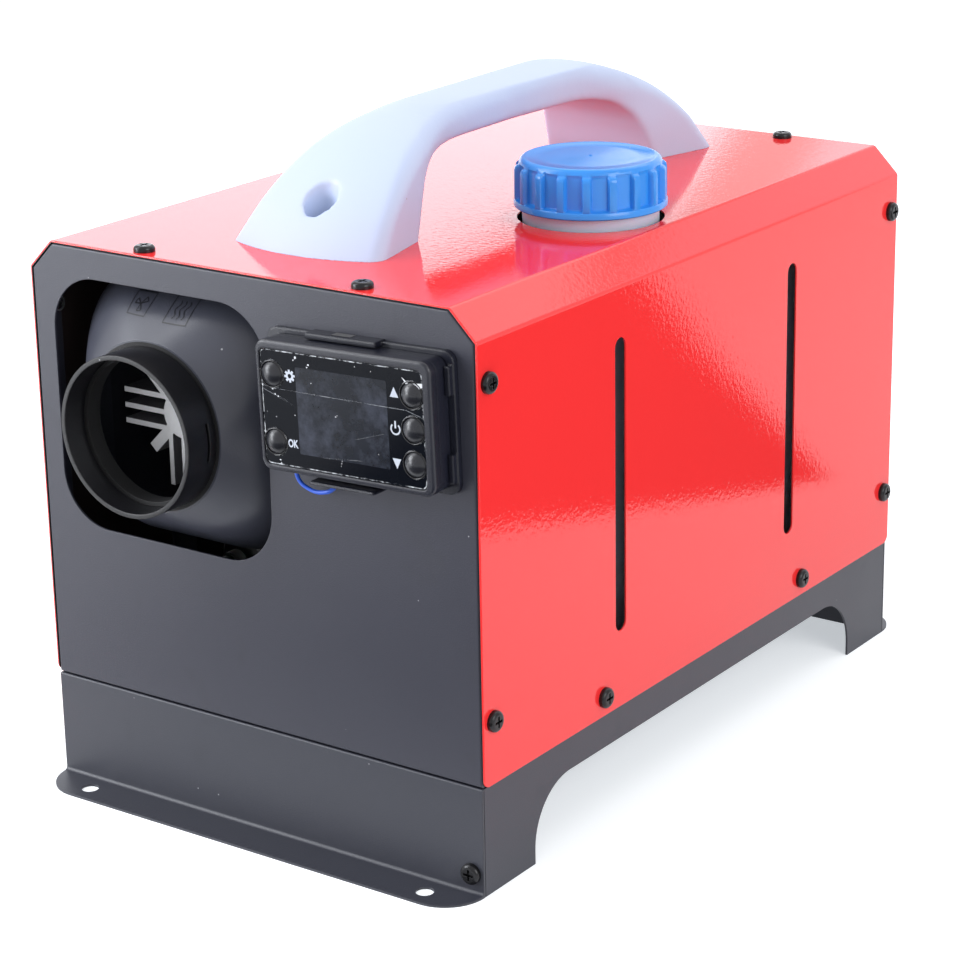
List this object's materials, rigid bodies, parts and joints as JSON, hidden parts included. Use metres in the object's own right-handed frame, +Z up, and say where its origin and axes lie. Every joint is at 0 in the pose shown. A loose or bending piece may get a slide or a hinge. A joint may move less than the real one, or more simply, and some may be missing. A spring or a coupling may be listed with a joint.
{
  "type": "diesel air heater",
  "caption": "Portable diesel air heater in a folded sheet case with a carrying handle, built-in tank, screw cap, clip-on controller and round warm air outlet.",
  "frame": {"origin": "centre of the four foot bolt holes, on the floor plane", "axes": "+X to the right seen from the front, +Y from the outlet side to the back, +Z up"},
  "size_m": [0.2456, 0.4024, 0.3055],
  "materials": {
    "red_cover": "gloss powder coat with a light orange peel",
    "black_sheet": "satin black powder coat",
    "black_screw": "black oxide steel",
    "zinc": "zinc plated",
    "handle_plastic": "satin moulded polypropylene",
    "tank_plastic": "translucent natural polyethylene",
    "cap_plastic": "blue moulded polypropylene",
    "rubber": "matt black rubber",
    "fuel_hose": "dark green fuel hose",
    "brass": "machined",
    "clear_plastic": "clear filter bowl",
    "steel": "drawn and machined steel",
    "spring_steel": "spring wire",
    "black_plastic": "fine textured moulded nylon",
    "cast_aluminium": "die cast, light",
    "fan_plastic": "moulded",
    "ceramic": "ceramic and steel",
    "circuit_board": "green solder mask",
    "gasket_paper": "fibre gasket",
    "lens_plastic": "glossy smoked face sheet",
    "lcd_glass": "display glass",
    "button_rubber": "satin domed buttons",
    "lead_blue": "blue insulation"
  },
  "bodies": {
    "case": {"cover": "red_cover", "front_panel": "black_sheet", "rear_panel": "black_sheet", "base_tray": "black_sheet", "front_foot": "black_sheet", "rear_foot": "black_sheet", "case_screws": "black_screw", "rivet_nuts": "zinc", "handle": "handle_plastic", "handle_screws": "zinc", "handle_nuts": "zinc", "fuel_tank": "tank_plastic", "tank_straps": "black_sheet", "tank_outlet": "brass", "fuel_filter": "clear_plastic", "hose_tank": "fuel_hose", "hose_pump": "fuel_hose", "hose_heater": "fuel_hose", "hose_clips": "zinc", "fuel_pump": "steel", "pump_cradle": "rubber", "outlet_collar": "black_plastic", "outlet_hood": "black_plastic", "inlet_hood": "black_plastic", "inlet_guard": "black_plastic", "heater_case_lower": "black_plastic", "heater_case_upper": "black_plastic", "heat_exchanger": "cast_aluminium", "burner_tube": "steel", "glow_plug": "ceramic", "overheat_sensor": "ceramic", "blower_housing": "cast_aluminium", "fan_motor": "steel", "control_board": "circuit_board", "heater_gasket": "gasket_paper", "heater_stand": "black_sheet", "exhaust_pipe": "steel", "intake_pipe": "cast_aluminium", "pipe_grommets": "rubber", "controller_bracket": "black_plastic", "bracket_screws": "zinc", "controller_shell": "black_plastic", "controller_board": "circuit_board", "lcd_module": "lcd_glass", "controller_bezel": "black_plastic", "controller_lens": "lens_plastic", "controller_lead": "lead_blue", "power_gland": "black_plastic"},
    "seal": {"cap_seal": "rubber"},
    "cap": {"fuel_cap": "cap_plastic"},
    "rotor": {"motor_shaft": "steel", "combustion_impeller": "fan_plastic", "air_fan": "fan_plastic"},
    "plunger": {"pump_plunger": "steel", "pump_spring": "spring_steel"},
    "button_settings": {"button_settings": "button_rubber"},
    "button_ok": {"button_ok": "button_rubber"},
    "button_up": {"button_up": "button_rubber"},
    "button_power": {"button_power": "button_rubber"},
    "button_down": {"button_down": "button_rubber"}
  },
  "joints": [
    {"name": "cap_lift", "type": "slide", "parent": "case", "child": "seal", "axis": [0, 0, 1], "range_m": [0, 0.006]},
    {"name": "cap_turn", "type": "hinge", "parent": "seal", "child": "cap", "pos_m": [0.0689, -0.0186, 0.27], "axis": [0, 0, 1], "range_deg": [0, 540]},
    {"name": "rotor_spin", "type": "hinge", "parent": "case", "child": "rotor", "pos_m": [-0.048, 0.08, 0.1812], "axis": [0, 1, 0], "continuous": true},
    {"name": "pump_stroke", "type": "slide", "parent": "case", "child": "plunger", "axis": [0, 1, 0], "range_m": [0, 0.0016], "stiffness_N_per_m": 600, "springref_m": -0.003},
    {"name": "button_settings_press", "type": "slide", "parent": "case", "child": "button_settings", "axis": [0, 1, 0], "range_m": [0, 0.0008], "stiffness_N_per_m": 400, "springref_m": -0.0006},
    {"name": "button_ok_press", "type": "slide", "parent": "case", "child": "button_ok", "axis": [0, 1, 0], "range_m": [0, 0.0008], "stiffness_N_per_m": 400, "springref_m": -0.0006},
    {"name": "button_up_press", "type": "slide", "parent": "case", "child": "button_up", "axis": [0, 1, 0], "range_m": [0, 0.0008], "stiffness_N_per_m": 400, "springref_m": -0.0006},
    {"name": "button_power_press", "type": "slide", "parent": "case", "child": "button_power", "axis": [0, 1, 0], "range_m": [0, 0.0008], "stiffness_N_per_m": 400, "springref_m": -0.0006},
    {"name": "button_down_press", "type": "slide", "parent": "case", "child": "button_down", "axis": [0, 1, 0], "range_m": [0, 0.0008], "stiffness_N_per_m": 400, "springref_m": -0.0006}
  ],
  "couplings": [
    {"joint": "cap_turn", "follows": "cap_lift", "rad_per_m": 1570.8}
  ]
}
